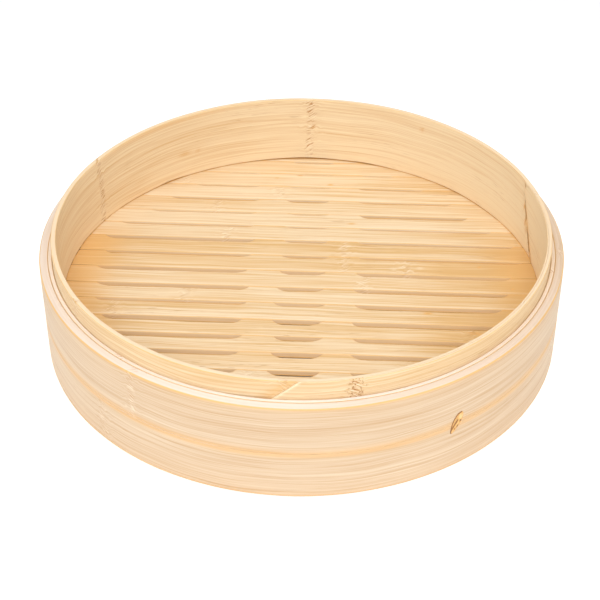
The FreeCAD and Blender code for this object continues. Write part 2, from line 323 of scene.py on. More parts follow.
class Section:
    """Rounded section of a strip, as fractions of its width and height plus fixed offsets.

    Runs inner-bottom, outer-bottom, outer-top, inner-top. `rounds` and `counts` go in that order;
    counts are the steps along the bottom, the outer face, the top and the inner face."""

    def __init__(self, rounds, counts):
        rows = []
        for n, (side, level) in enumerate(CORNERS):
            out_r, out_z = 2 * side - 1, 2 * level - 1
            for k in range(CORNER_STEPS + 1):
                angle = math.radians(180 + 90 * n + 90 * k / CORNER_STEPS)
                off_r = rounds[n] * (math.cos(angle) - out_r)
                off_z = rounds[n] * (math.sin(angle) - out_z)
                on_arc = 1 - abs(2 * k / CORNER_STEPS - 1)
                rows.append((side, level, off_r, off_z, on_arc))
            far_side, far_level = CORNERS[(n + 1) % 4]
            far = rounds[(n + 1) % 4]
            first_angle = math.radians(180 + 90 * (n + 1))
            ahead = (far_side, far_level, far * (math.cos(first_angle) - (2 * far_side - 1)),
                     far * (math.sin(first_angle) - (2 * far_level - 1)), 0.0)
            here = rows[-1]
            for k in range(1, counts[n]):
                share = 0.5 - 0.5 * math.cos(math.pi * k / counts[n])
                rows.append(tuple(a + (b - a) * share for a, b in zip(here, ahead)))
        self.side, self.level, self.off_r, self.off_z, self.arc = np.array(rows).T
        self.flat = (np.abs(self.level - 0.5) > 0.499) & (np.abs(self.off_z) < 0.2 * max(rounds))
        self.upright = (np.abs(self.side - 0.5) > 0.499) & (np.abs(self.off_r) < 0.3 * max(rounds))
        self.thick_needed = max(rounds[0] + rounds[1], rounds[2] + rounds[3], 0.01)

    def place(self, inner, outer, bottom, top, soft_inner=1.0, soft_outer=1.0):
        """Radius and height of every point, for arrays that broadcast to (stations, points).

        The softnesses scale the rounding of the inner and the outer corners."""
        soft = soft_inner * (1 - self.side) + soft_outer * self.side
        soft = soft * np.minimum(1.0, 0.9 * (outer - inner) / self.thick_needed)
        return inner + self.side * (outer - inner) + soft * self.off_r, \
            bottom + self.level * (top - bottom) + soft * self.off_z


def loft(name, points, layers, material, nodes):
    """Closed mesh through sections: points is (stations, points round, 3) in millimetres."""
    stations, around = points.shape[:2]
    index = np.arange(stations * around).reshape(stations, around)
    onward = np.roll(index, -1, axis=1)
    quads = np.stack([index[:-1], index[1:], onward[1:], onward[:-1]], axis=-1).reshape(-1, 4)
    faces = quads.tolist() + [index[0].tolist(), index[-1][::-1].tolist()]
    mesh = bpy.data.meshes.new(name)
    mesh.from_pydata((points.reshape(-1, 3) * MM).tolist(), [], faces)
    for key, values in layers.items():
        layer = mesh.attributes.new(key, "FLOAT_VECTOR", "POINT")
        packed = np.stack(np.broadcast_arrays(*values), axis=-1)
        packed = np.broadcast_to(packed, (stations, around, 3)).astype(np.float32)
        layer.data.foreach_set("vector", packed.ravel())
    mesh.shade_smooth()
    mesh.set_sharp_from_angle(angle=SHARP_ANGLE)
    mesh.materials.append(material)
    piece = bpy.data.objects.new(name, mesh)
    bpy.context.scene.collection.objects.link(piece)
    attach(piece, "root")
    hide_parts(*nodes)
    return piece


def nearest(value, places):
    """Signed distance from value to the nearest of several places."""
    gaps = np.stack([value - p for p in places], axis=-1)
    pick = np.argmin(np.abs(gaps), axis=-1)
    return np.take_along_axis(gaps, pick[..., None], axis=-1)[..., 0]


STATION_STEP = 1.2      # degrees
LEAN_RUN = 40.0         # degrees over which a slanted end eases back to upright stations
TEAR_RUN = 3.0          # the same for a ragged end
FAR_END_CURVE = 1.5     # power of the curve that the cut at a strip's far end follows


def bent_strip(name, material, seed, section, lap, bottom, top, node_places,
               lean=(0.0, 0.0), ragged=0.0, step=STATION_STEP, reshape=None, paint=None,
               node_ink=0.8, foot_gilt=1.0):
    """Strip bent round into a hoop with lapped ends, a little more than a turn long.

    bottom and top are functions of the unwrapped azimuth. lean is how far each end's cut drifts
    from top to bottom, and ragged how rough the far end is. reshape changes radius and height,
    paint gives the lighter and warmer values, tone together with painted light and shade, and
    foot_gilt scales the gilt of the lower arrises."""
    start, end = lap.begin, lap.finish + 360
    base = np.linspace(start, end, int((end - start) / step) + 2)[:, None]
    low, high = bottom(base), top(base)
    nominal_z = low + section.level[None, :] * (high - low)
    drop = 1 - section.level[None, :]
    turn = base - drop * lean[0] * smooth(1 - (base - start) / LEAN_RUN)
    turn = turn - drop ** FAR_END_CURVE * lean[1] * smooth(1 - (end - base) / LEAN_RUN)
    tears = ragged * wander(seed, (5.3, 8.7, 16.0), 1.0)(nominal_z)
    turn = turn + tears * smooth(1 - (end - base) / TEAR_RUN)
    radius, z = section.place(lap.inner_r(turn), lap.outer_r(turn), low, high,
                              lap.soft_inner(turn), lap.soft_outer(turn))
    if reshape:
        radius, z = reshape(turn, radius, z, section)
    angle = np.radians(turn)
    points = np.stack([radius * np.cos(angle), radius * np.sin(angle), z], axis=-1)
    middle = (lap.inner + lap.outer) / 2
    width = lap.outer - lap.inner
    arc = angle * middle
    across = z + section.side[None, :] * width + section.off_r[None, :]
    gap = nearest(np.degrees(angle), node_places) * math.radians(1) * middle
    height = (z - low) / (high - low)
    lighter, warmer = paint(turn, z, height, section) if paint else (0.0, 0.0)
    upper_half = section.level > 0.5
    arris = section.arc * np.where(upper_half, 1.0, foot_gilt)
    cut_face = np.where(section.flat & upper_half, 1.0, 0.0)
    layers = {
        "grain": (arc * MM, across * MM, seed * 1.37),
        "marks": (gap * MM, arris[None, :], cut_face[None, :]),
        "tone_and_shading": (lighter, warmer, node_ink(turn) if callable(node_ink) else node_ink),
    }
    return loft(name, points, layers, material, [name])


# ---------------------------------------------------------------- finishes
wall_wood = bamboo("wall", contrast=0.85, specks=0.45, gilt=0.70, fineness=1.6)
liner_wood = bamboo("liner", contrast=0.8, specks=0.3, gilt=0.8)
collar_wood = bamboo("collar", contrast=0.95, specks=0.6, gilt=0.7, fineness=1.5)
slat_wood = bamboo("slat", contrast=1.15, specks=0.8, gilt=0.75, fineness=1.35)
frame_wood = bamboo("frame", contrast=1.0, specks=0.6)
peg_wood = bamboo("peg", contrast=1.2, specks=0.6, roughness=0.55)

# ---------------------------------------------------------------- hoops
upper_low, upper_high = cad_box("outer_hoop_upper")
lower_high = cad_box("outer_hoop_lower")[1]
liner_high = cad_box("liner_hoop")[1]
collar_low, collar_high = cad_box("collar_hoop")
seat_low, seat_high = cad_box("seat_ring")

TIER_R = min(upper_high[0], -upper_low[0], upper_high[1], -upper_low[1])
SHOULDER_Z = upper_high[2]
SEAM_Z = upper_low[2]
COLLAR_TOP_Z = collar_high[2]
FLOOR_Z = cad_box("slat_10")[1][2]
OUTER_INNER_R = TIER_R - 5.28
LINER_OUTER_R = TIER_R - 5.35
LINER_INNER_R = TIER_R - 7.7
COLLAR_OUTER_R = TIER_R - 7.78
COLLAR_INNER_R = TIER_R - 10.8
SEAT_OUTER_R = TIER_R - 7.85
SEAT_INNER_R = TIER_R - 12.0

# Azimuths where each hoop's lap begins and ends, and where its nodes are.
LAP_GAP = 0.1
UPPER_LAP = (48.0, 84.0)
LOWER_LAP = (108.0, 142.0)
LINER_LAP = (20.0, 60.0)
SEAT_LAP = (200.0, 236.0)
COLLAR_LAP = (-87.5, 20.5)
COLLAR_LEAN = (21.0, 8.5)
UPPER_NODES = (60, 148, 237, 357, 415)
LOWER_NODES = (130, 228, 343, 408, 495)
LINER_NODES = (80, 170, 232, 350, 412)
SEAT_NODES = (225, 300, 385, 470, 550)
COLLAR_NODES = (-76.0, 15.0, 90.6, 155.0, 215.0, 269.5, 330.0)
# Nodes of the collar that are full of dark dots: azimuth and strength.
SPECKLED_NODES = ((-76.0, 1.25), (90.6, 0.35), (155.0, 0.28))
NODE_REACH = 6.0
# Small dark flecks on the collar's inside: azimuth, height, half lengths along and up, strength.
COLLAR_FLECKS = (
    (126.0, 44.0, 1.6, 0.7, 0.6), (121.8, 45.2, 0.6, 0.7, 0.6), (89.8, 53.2, 0.45, 0.8, 1.0),
    (140.0, 38.0, 2.2, 0.6, 0.3), (60.0, 41.0, 1.5, 0.6, 0.3), (59.5, 63.0, 0.5, 0.8, 1.0),
    (19.6, 55.0, 0.5, 2.2, 0.9), (18.4, 46.0, 0.5, 2.6, 0.9), (17.6, 41.0, 0.5, 1.6, 0.8),
)
# Where the collar's foot stands off the floor: azimuth, reach and height.
FOOT_GAPS = (
    (92.0, 8.0, 0.6), (75.0, 5.0, 0.4), (130.0, 4.0, 0.6), (48.0, 8.0, 0.3), (165.0, 5.0, 0.3),
)
COLLAR_SCRAPE = 0.12
RECESS_RELIEF = 0.6
BAR_CLEAR = 0.25


class Lap:
    """Radii of a strip whose ends lap from azimuth begin to finish. The outer ply lies on top.

    early is how far the outer ply's slanted end runs back before begin."""

    def __init__(self, inner, outer, begin, finish, outer_tip, inner_tip, dip, early=0.0):
        self.inner, self.outer = inner, outer
        self.begin, self.finish = begin, finish
        self.outer_tip, self.inner_tip = outer_tip, inner_tip
        self.dip, self.early = dip, early

    def split(self, turn):
        share = (turn - self.begin) / (self.finish - self.begin)
        fall = self.outer - self.inner - self.outer_tip - self.inner_tip
        return self.outer - self.outer_tip - fall * share

    def inner_r(self, turn):
        under = self.split(turn) + LAP_GAP / 2
        settle = smooth((turn - self.finish) / self.dip)
        eased = (self.split(self.finish) + LAP_GAP / 2) * (1 - settle) + self.inner * settle
        return np.where(turn < self.finish, under, eased)

    def outer_r(self, turn):
        back = turn - 360
        first = self.begin - self.early
        settle = smooth((back - first + self.dip) / self.dip)
        eased = self.outer * (1 - settle) + (self.split(first) - LAP_GAP / 2) * settle
        return np.where(back > first, self.split(back) - LAP_GAP / 2, eased)

    def soft_inner(self, turn):
        return 1 - 0.85 * smooth((self.finish + 4 - turn) / 4)

    def soft_outer(self, turn):
        return 1 - 0.85 * smooth((turn - 360 - self.begin + self.early + 4) / 4)


def constant(value):
    """The same height at every azimuth."""
    return lambda turn: np.full_like(turn, value)


def outer_course(name, lap, bottom, top, nodes, seed):
    """One of the two courses of the outer wall: warm along the seam and along the free edge."""
    upper = top > SEAM_Z + 1
    tall = top - bottom
    section = Section((0.4, 0.45, 1.1, 0.6) if upper else (0.6, 1.1, 0.45, 0.4), (4, 16, 5, 6))
    strip = Lap(OUTER_INNER_R, TIER_R, lap[0], lap[1], 1.1, 1.3, 22.0)
    ripple = harmonics(seed, (2, 3, 5, 7), 0.16)
    fine_ripple = harmonics(seed + 1, (13, 21, 34, 55), 0.05)
    edge_ripple = harmonics(seed + 2, (3, 4, 9, 17), 0.12)
    streaks = harmonics(seed + 3, (1, 2, 3, 6), 0.05)
    seam_lines = wander(seed + 9, (1.3, 2.1, 3.4), 0.45)

    def reshape(turn, radius, z, part):
        belly = 0.09 * (2 * part.level[None, :] - 1) ** 2
        dent = 0.21 + ripple(turn) + fine_ripple(turn + 7 * part.level) + belly
        sag = (0.12 + edge_ripple(turn)) * (part.level if upper else part.level - 1)
        return radius - part.side[None, :] * dent, z - sag

    def paint(turn, z, height, part):
        from_edge = (1 - height if upper else height) * tall
        from_seam = (height if upper else 1 - height) * tall
        warm = 0.75 * bump(from_edge, 0.0, 1.3) + 0.12 * np.exp(-from_edge / 6.0)
        line = seam_lines(from_seam + 0.15 * np.sin(np.radians(turn * 3)))
        warm = warm + (0.58 + line) * bump(from_seam, 0.0, 2.4)
        warm = warm * np.where((part.side > 0.99) & ~part.flat, 1.0, 0.0)[None, :]
        angle = np.radians(turn)
        # painted sheen on the cut top: lighter at the front and back than at the sides, and
        # lighter on the left than on the right
        tone_and_sheen = 0.50 * np.abs(np.sin(angle)) - 0.25 * np.cos(angle) - 0.78
        edge = 0.0 if upper else -0.35 * bump(z, 0.0, 1.1)
        return streaks(turn) + np.where(part.flat, tone_and_sheen, edge), warm

    bent_strip(name, wall_wood, seed, section, strip, constant(bottom), constant(top),
               nodes, reshape=reshape, paint=paint, node_ink=0.55, foot_gilt=1.0 if upper else 0.1)


outer_course("outer_hoop_upper", UPPER_LAP, SEAM_Z, SHOULDER_Z, UPPER_NODES, 21)
outer_course("outer_hoop_lower", LOWER_LAP, 0.02, lower_high[2], LOWER_NODES, 34)


def liner():
    """Hoop inside the outer wall, pared thinner over the recess."""
    section = Section((0.6, 0.3, 0.3, 0.6), (2, 4, 3, 10))
    strip = Lap(LINER_INNER_R, LINER_OUTER_R, *LINER_LAP, 0.8, 0.8, 20.0)

    def reshape(turn, radius, z, part):
        over_recess = smooth((seat_low[2] + 0.5 - z) / 1.2)
        return radius + RECESS_RELIEF * over_recess * (1 - part.side[None, :]), z

    def paint(turn, z, height, part):
        # painted sheen on the cut top: lighter at the front and back than at the sides
        tone_and_sheen = 0.70 * np.abs(np.sin(np.radians(turn))) - 0.72
        return np.where(part.flat, tone_and_sheen, 0.0), 0.0

    bent_strip("liner_hoop", liner_wood, 45, section, strip, constant(0.03),
               constant(liner_high[2] - 0.12), LINER_NODES, reshape=reshape, paint=paint)


def from_front(turn):
    """The same azimuth, between -90 and 270 degrees."""
    return (turn + 90) % 360 - 90


def collar():
    """Tall inner hoop. Its outer ply ends in a slant at the front, its inner ply at the right."""
    section = Section((0.4, 0.3, 0.6, 0.6), (3, 20, 4, 26))
    strip = Lap(COLLAR_INNER_R, COLLAR_OUTER_R, *COLLAR_LAP, 0.7, 0.45, 16.0,
                early=COLLAR_LEAN[0] * (1 - section.level)[None, :])
    top_ripple = harmonics(57, (2, 3, 5, 11), 0.22)

    def foot(turn):
        lift = sum(size * bump(from_front(turn), place, reach) for place, reach, size in FOOT_GAPS)
        return collar_low[2] + 0.02 + lift

    def reshape(turn, radius, z, part):
        top_ply = 1 - smooth((turn - 360 - strip.begin + strip.early + strip.dip) / strip.dip)
        free = smooth((z - SHOULDER_Z + 2.5) / 3.5) * part.side[None, :] * top_ply
        z = z - part.level[None, :] * np.maximum(0.15 + top_ripple(turn), 0.0)
        return radius - COLLAR_SCRAPE * free, z

    def paint(turn, z, height, part):
        around = from_front(turn)
        angle = np.radians(turn)
        outside = part.side[None, :]
        inside = 1 - outside

        # tone of the rim with a painted highlight towards its front; painted light on the inside,
        # lighter overall, towards the right and near the floor; and on the outside, darker overall
        # and lighter near the shoulder
        rim_tone_and_highlight = 0.20 * np.cos(angle + math.pi / 2) - 0.30
        inner_painted_light = 0.20 + 0.12 * np.cos(angle) + 0.15 * bump(around, 2.0, 25.0)
        inner_painted_light = inner_painted_light + 0.55 * np.exp(-(z - FLOOR_Z) / 3.5)
        outer_painted_light = 0.45 * np.exp(-np.maximum(z - SHOULDER_Z, 0.0) / 4.0) - 0.27
        light = np.where(part.flat, rim_tone_and_highlight, inner_painted_light * inside + outer_painted_light * outside)
        light = light + 0.03 * np.sin(2 * angle)

        # painted warm bounce light at the foot inside, and warmer just under the rim at the back
        # left
        glow = 0.10 + 0.20 * np.abs(np.cos(angle)) + 0.20 * bump(around, 145.0, 26.0)
        warm = glow * np.exp(-(z - FLOOR_Z) / 5.0) * inside
        warm = warm + 0.38 * bump(height, 0.955, 0.03) * bump(around, 131.0, 22.0) * inside

        # painted highlight along the cut of the outer end, with a stain beside it
        slant = strip.begin - COLLAR_LEAN[0] * (1 - height)
        stain = 0.45 * bump(turn, slant + 360 - 1.2, 1.8) * outside
        light = light - 0.25 * stain + 0.9 * bump(turn, slant + 0.2, 0.45) * outside
        warm = warm + stain

        # stains along the torn inner end and on the ply beyond it
        torn = strip.finish - COLLAR_LEAN[1] * (1 - height) ** FAR_END_CURVE
        below_rim = 0.25 + 0.75 * smooth((0.80 - height) / 0.30)
        warm = warm + 0.9 * bump(turn, torn + 360, 0.7) * below_rim
        warm = warm + 0.45 * bump(turn, torn + 0.4, 0.6) * below_rim * inside

        for place, level, reach, half_tall, ink in COLLAR_FLECKS:
            spot = ink * bump(around, place, reach) * bump(z, level, half_tall) * inside
            light = light - spot
            warm = warm + spot
        return light, warm

    def node_ink(turn):
        around = from_front(turn)
        return 0.75 + sum(ink * bump(around, place, NODE_REACH) for place, ink in SPECKLED_NODES)

    bent_strip("collar_hoop", collar_wood, 60, section, strip, foot,
               constant(COLLAR_TOP_Z), COLLAR_NODES, lean=COLLAR_LEAN, ragged=1.5,
               step=STATION_STEP / 2, reshape=reshape, paint=paint, node_ink=node_ink)


def seat():
    """Hoop under the slats, with a notch in its top for each end of the cross bars."""
    section = Section((0.6, 0.4, 0.4, 0.4), (4, 6, 4, 6))
    strip = Lap(SEAT_INNER_R, SEAT_OUTER_R, *SEAT_LAP, 1.3, 1.3, 16.0)
    openings = []
    for side in ("left", "right"):
        low, high = cad_box("cross_bar_" + side)
        for way in (1, -1):
            ends = []
            for x in (low[0] - BAR_CLEAR, high[0] + BAR_CLEAR):
                for radius in (SEAT_INNER_R, SEAT_OUTER_R):
                    ends.append(way * math.degrees(math.acos(x / radius)) % 360)
            openings.append((min(ends), max(ends)))
    bar_low = cad_box("cross_bar_left")[0][2]

    def rim(turn):
        z = np.full_like(turn, seat_high[2] - 0.02)
        for first, last in openings:
            around = turn % 360
            z = np.where((around > first) & (around < last), bar_low - 0.1, z)
        return z

    bent_strip("seat_ring", frame_wood, 71, section, strip,
               constant(seat_low[2] + 0.02), rim, SEAT_NODES)


liner()
collar()
seat()

# ---------------------------------------------------------------- floor slats
SLAT_COUNT = 19
FLOOR_R = SEAT_OUTER_R + 0.02
SLOT_DEPTH = (3.3, 4.8)      # from the back rows to the front rows
CENTRE_SLOT = (-14.6, 15.0)
SIDE_SLOT = 30.9
SLOT_MARGIN = 16.0           # from the outer end of a side slot to the wall
LEFT_MARGINS = {5: 17.8, 6: 18.6, 7: 9.7, 8: 7.9, 9: 14.8, 10: 14.6, 11: 16.4, 12: 14.7}
RIGHT_MARGINS = {5: 15.6, 6: 17.2, 7: 10.9, 8: 4.0, 9: 4.0, 10: 13.9}
SHORTEST_SLOT = 20.0
FACE_SLOPE = 1.35            # how far the foot of a slat's front face stands out
SLAT_STEP = 1.2
# Painted shade inside the left, centre and right slot of a slat; the same numbers also set how
# deep each slot is cut.
PLAIN_SHADE_AND_DEPTH = (0.85, 1.0, 0.85)
SLOT_SHADE_AND_DEPTH = {
    1: (0.1, 0.2, 0.1), 2: (0.1, 0.5, 0.1), 3: (0.15, 0.05, 0.2), 4: (0.15, 0.1, 0.3),
    5: (0.6, 0.8, 0.45), 6: (0.3, 0.3, 0.9), 7: (0.3, 0.25, 0.35), 8: (0.95, 0.6, 0.5),
    9: (0.6, 0.6, 0.3), 10: (1.0, 1.0, 1.0), 11: (0.85, 0.8, 0.8), 12: (0.6, 0.7, 1.0),
}
# Marks on the floor: slat, x, y, half lengths, strength. The negative ones are pale.
SLAT_FLECKS = (
    (3, 13.2, 107.6, 1.6, 0.5, 0.9), (12, 74.0, -25.0, 2.0, 0.7, 0.8),
    (9, 105.3, 21.9, 0.9, 0.6, 0.6), (10, 123.7, 1.0, 0.9, 0.6, 0.6),
    (13, 99.7, -42.0, 3.0, 0.9, 0.8), (13, 104.0, -43.5, 1.5, 0.8, 0.7),
    (3, -22.0, 113.8, 1.0, 0.6, 0.5), (3, -7.0, 118.0, 1.5, 0.6, 0.5),
    (6, 28.0, 64.0, 2.0, 0.6, 0.4), (9, 54.0, 17.0, 1.8, 0.9, -0.6),
    (9, 59.5, 19.0, 1.2, 0.7, -0.6), (9, 64.0, 16.5, 2.4, 0.8, -0.6),
    (9, 70.0, 18.5, 2.0, 0.9, -0.6), (10, 35.0, 9.6, 1.6, 0.8, -0.6),
    (10, 40.5, 8.4, 1.5, 0.7, -0.6), (8, 22.0, 36.0, 1.4, 0.8, -0.5),
    (8, 27.0, 39.5, 1.6, 0.7, -0.5), (4, -23.0, 98.0, 1.6, 0.7, -0.5),
)
# Nodes of each slat, along x. The others get one at a random place.
SLAT_NODES = {
    2: (118.0,), 4: (-19.0,), 5: (-58.0,), 6: (130.0,), 8: (24.0,), 9: (24.0, 61.0), 10: (37.0,),
    13: (98.0,), 14: (-96.0,), 15: (64.0,),
}
# How much lighter and warmer each slat is, and how much lighter it gets per 100 mm to the right.
SLAT_TONES = {
    1: (0.10, 0.00, 0.00), 2: (0.14, 0.00, -0.06), 3: (0.09, 0.00, -0.15),
    4: (0.16, 0.00, -0.12), 5: (0.02, 0.02, -0.02), 6: (0.18, 0.00, 0.00),
    7: (0.12, 0.02, -0.08), 8: (-0.12, 0.07, 0.00), 9: (-0.09, 0.09, -0.02),
    10: (0.06, 0.08, -0.10), 11: (0.08, 0.02, -0.05), 12: (0.01, 0.02, -0.03),
    13: (-0.03, 0.02, 0.00), 14: (0.05, 0.01, -0.10), 15: (-0.02, 0.03, -0.16),
    16: (0.05, 0.02, -0.10), 17: (0.00, 0.05, 0.00), 18: (0.03, 0.03, 0.00),
    19: (0.0, 0.04, 0.00),
}
# How much darker the right-hand end of a slat is.
RIGHTWARD = {9: 1.0, 10: 0.5, 11: 0.5, 12: 1.2, 13: 1.2, 14: 1.0, 15: 1.0}
# Wavelengths of a slat's edges, of the roughness of its slots, of their depth and of its bend.
FRONT_WAVES = (31.0, 83.0, 170.0)
BACK_WAVES = (27.0, 66.0, 210.0)
ROUGH_WAVES = (2.3, 3.7, 5.9)
DEPTH_WAVES = (45.0, 120.0)
BEND_WAVES = (90.0, 240.0)


def hook(x):
    """End of a slot: it leaves the edge steeply and curves round to its full depth."""
    x = np.clip(x, 0.0, 1.0)
    return smooth(x * 4) * (1 - (1 - x) ** 2.2)


def slot_spans(number, wall_reach, dice):
    """Ends along x of the slots that a slat has room for."""
    spans = []
    if wall_reach > CENTRE_SLOT[1] + 8:
        first = CENTRE_SLOT[0] + dice.uniform(-1, 1)
        spans.append((first, CENTRE_SLOT[1] + dice.uniform(-1, 1)))
    if wall_reach - SLOT_MARGIN - SIDE_SLOT > SHORTEST_SLOT:
        margin = RIGHT_MARGINS.get(number) or SLOT_MARGIN + dice.uniform(-2, 2)
        spans.append((SIDE_SLOT + dice.uniform(-1.2, 1.2), wall_reach - margin))
        margin = LEFT_MARGINS.get(number) or SLOT_MARGIN + dice.uniform(-2, 2)
        spans.append((-wall_reach + margin, -SIDE_SLOT + dice.uniform(-1.2, 1.2)))
    return spans


def slot_cut(x, spans, dice):
    """1 along the slots and 0 along the tabs."""
    cut = np.zeros_like(x)
    for first, last in spans:
        run_in, run_out = dice.uniform(6.0, 9.5), dice.uniform(6.0, 9.5)
        cut = np.maximum(cut, hook((x - first) / run_in) * hook((last - x) / run_out))
    return cut


def slot_share(x, shades):
    """Pick the left, centre or right one of three values, with short blends."""
    centre = smooth((24.0 - np.abs(x)) / 3.0)
    left = (1 - centre) * (x < 0)
    return shades[0] * left + shades[1] * centre + shades[2] * (1 - centre - left)


def slat_edge(x, seed, waves, dice):
    """How far an edge of a slat lies inside its straight line."""
    return np.maximum(wander(seed, waves, 0.22)(x) + dice.uniform(-0.08, 0.10), 0.0)


def slat(number):
    """Floor slat, notched along its back edge."""
    name = "slat_%02d" % number
    low, high = cad_box(name)
    front, back = low[1], high[1]
    dice = random.Random(SEED * 100 + number)
    seed = number * 7
    nearer = (number - 1) / (SLAT_COUNT - 1)
    nearest_y = 0.0 if front < 0 < back else min(abs(front), abs(back))
    farthest_y = max(abs(front), abs(back))
    reach = math.sqrt(FLOOR_R ** 2 - nearest_y ** 2) - 0.4
    wall_reach = math.sqrt(max(COLLAR_INNER_R ** 2 - farthest_y ** 2, 0.0))
    x = np.linspace(-reach, reach, int(2 * reach / SLAT_STEP) + 2)[:, None]
    circle = np.sqrt(np.maximum(FLOOR_R ** 2 - x ** 2, 0.0))

    # edges and slots
    front_wave = slat_edge(x, seed + 1, FRONT_WAVES, dice)
    back_wave = slat_edge(x, seed + 2, BACK_WAVES, dice)
    rough = wander(seed + 3, ROUGH_WAVES, 0.10)(x)
    depth = SLOT_DEPTH[0] + (SLOT_DEPTH[1] - SLOT_DEPTH[0]) * nearer
    depth = depth + dice.uniform(-0.2, 0.2) + wander(seed + 4, DEPTH_WAVES, 0.25)(x)
    cut = slot_cut(x, slot_spans(number, wall_reach, dice), dice)
    back_shade = slot_share(x, SLOT_SHADE_AND_DEPTH.get(number, PLAIN_SHADE_AND_DEPTH))
    front_shade = slot_share(x, SLOT_SHADE_AND_DEPTH.get(number + 1, PLAIN_SHADE_AND_DEPTH))
    slot = cut * (depth * (0.45 + 0.55 * back_shade) + rough)
    y_front = np.maximum(front + front_wave, -circle)
    y_back = np.minimum(back - back_wave * (1 - cut) - slot, circle)
    y_back = np.maximum(y_back, y_front + 0.3)

    # crowned, tilted and bent a little, with a sloping front face
    lift = dice.uniform(-0.30, 0.0)
    tilt = dice.uniform(-0.22, 0.22)
    section = Section((0.3, 0.35, 0.45, 0.3), (6, 5, 14, 5))
    radius, z = section.place(-y_back, -y_front, low[2] + 0.02, high[2] - 0.02)
    slope = FACE_SLOPE * (high[2] - z) / (high[2] - low[2]) * (circle - np.abs(radius) > 3.0)
    y = -radius - slope
    share = (y - front) / (back - front)
    crown = 0.16 * (2 * share - 1) ** 2
    bend = wander(seed + 5, BEND_WAVES, 0.10)(x)
    dip = np.maximum(crown - lift + tilt * (share - 0.5) + bend, 0.0)
    z = z - section.level[None, :] * dip
    x_all = np.broadcast_to(x, z.shape)
    points = np.stack([x_all, y, z], axis=-1)

    # overall tone, and a mask of painted shade towards the wall, used below to make it darker and
    # warmer
    light, warm, tilt_tone = SLAT_TONES[number]
    rightward = smooth((x - 55.0) / 35.0) * RIGHTWARD.get(number, 0.0)
    light = light + tilt_tone * x / 100.0 - 0.28 * rightward
    warm = warm + 0.10 * rightward
    away = np.hypot(x, y)
    wall_shade = smooth((away - 104.0) / 32.0) * smooth((np.abs(x) / away - 0.55) / 0.35)
    wall_shade = wall_shade * smooth((62.0 - y) / 32.0)

    # painted shade on the faces inside the slots, growing towards what can be seen of their foot
    side_face = section.upright
    sunk = (high[2] - z) * np.where(side_face, 1.0, 0.0)[None, :]
    ink = np.where((section.side > 0.5)[None, :], front_shade, back_shade)
    seen = np.minimum((0.65 + 0.16 * nearer) * depth * (0.45 + 0.55 * ink), 2.9)
    foot = smooth((sunk - seen + 0.55) / 0.55)
    warm = warm + 0.15 * ink * smooth(sunk / 2.4) + (0.45 + 1.1 * ink) * foot

    # brown line along the back edge, a painted highlight along the front edge, painted shade under
    # the collar's foot
    top_half = section.level > 0.5
    edge_gap = np.where(top_half[None, :], y_back - y, 9.0)
    edge_line = bump(edge_gap, 0.0, 0.8) * (1 - cut)
    warm = warm + (0.8 + 0.7 * wall_shade) * edge_line + (0.60 - 0.3 * (x > 0)) * wall_shade
    warm = warm + 1.1 * smooth((away - COLLAR_INNER_R + 0.3) / 0.8)
    light = light - 0.30 * wall_shade + 0.35 * bump(y - y_front, 0.7, 0.8)

    for owner, mark_x, mark_y, mark_reach, wide, strength in SLAT_FLECKS:
        if owner == number:
            spot = strength * bump(x, mark_x, mark_reach) * bump(y, mark_y, wide)
            light = light - spot
            warm = warm + 2 * np.maximum(spot, 0.0)
    places = SLAT_NODES.get(number) or (dice.uniform(-110, -20),)
    front_arris = section.arc * (section.side > 0.5) * top_half
    layers = {
        "grain": (x * MM, (high[2] - z - y) * MM, number * 2.71),
        # the faces inside the slots take the darker slat cut colour, painted shade, more where the
        # slot shade is stronger
        "marks": (nearest(x_all, places) * MM, front_arris[None, :],
                  np.where(side_face[None, :], 0.15 + 0.85 * ink, 0.0)),
        "tone_and_shading": (light, warm, 0.5),
    }
    loft(name, points, layers, slat_wood, [name])


for number in range(1, SLAT_COUNT + 1):
    slat(number)


# ---------------------------------------------------------------- cross bars and pegs
BAR_STATIONS = 150
BAR_NODES = (-60.0, 95.0)


def cross_bar(side, seed):
    """Flat bar under the floor, lying along Y, slightly crowned below."""
    name = "cross_bar_" + side
    low, high = cad_box(name)
    y = np.linspace(low[1] + 0.4, high[1] - 0.4, BAR_STATIONS)[:, None]
    section = Section((2.0, 2.0, 0.4, 0.4), (8, 4, 6, 4))
    sway = wander(seed, (60.0, 140.0), 0.25)(y)
    half = (high[0] - low[0]) / 2 - 0.3 + wander(seed + 1, (33.0, 90.0), 0.2)(y)
    centre = (high[0] + low[0]) / 2 + sway
    reach = np.sqrt(np.maximum(FLOOR_R ** 2 - y ** 2, 0.0))
    left = np.maximum(centre - half, -reach)
    right = np.minimum(centre + half, reach)
    x, z = section.place(left, right, low[2] + 0.05, high[2] - 0.03)
    share = (x - left) / (right - left)
    z = z + (1 - section.level[None, :]) * 0.8 * (2 * share - 1) ** 2
    y = np.broadcast_to(y, x.shape)
    points = np.stack([x, y, z], axis=-1)
    gap = nearest(y, BAR_NODES)
    # the stations run towards +Y, so they are turned round to keep the faces outward
    layers = {
        "grain": ((y * MM)[::-1], ((x - centre - z) * MM)[::-1], seed * 1.9),
        "marks": ((gap * MM)[::-1], section.arc[None, :], 0.0),
        "tone_and_shading": (-0.04, 0.06, 0.8),
    }
    loft(name, points[::-1], layers, frame_wood, [name])


cross_bar("left", 5)
cross_bar("right", 8)

# Azimuth, lean in degrees and seed of each peg.
PEGS = {
    "wall_peg_front": (-54.5, 26.0, 3),
    "wall_peg_back_right": (66.0, 9.0, 4),
    "wall_peg_back_left": (146.0, 9.0, 6),
}
PEG_HALF_TALL = 7.2
PEG_HALF_WIDE = 2.6
PEG_FULLER = 0.30            # how much wider the upper end of a peg is
PEG_SIDES = 72
PEG_RINGS = 22
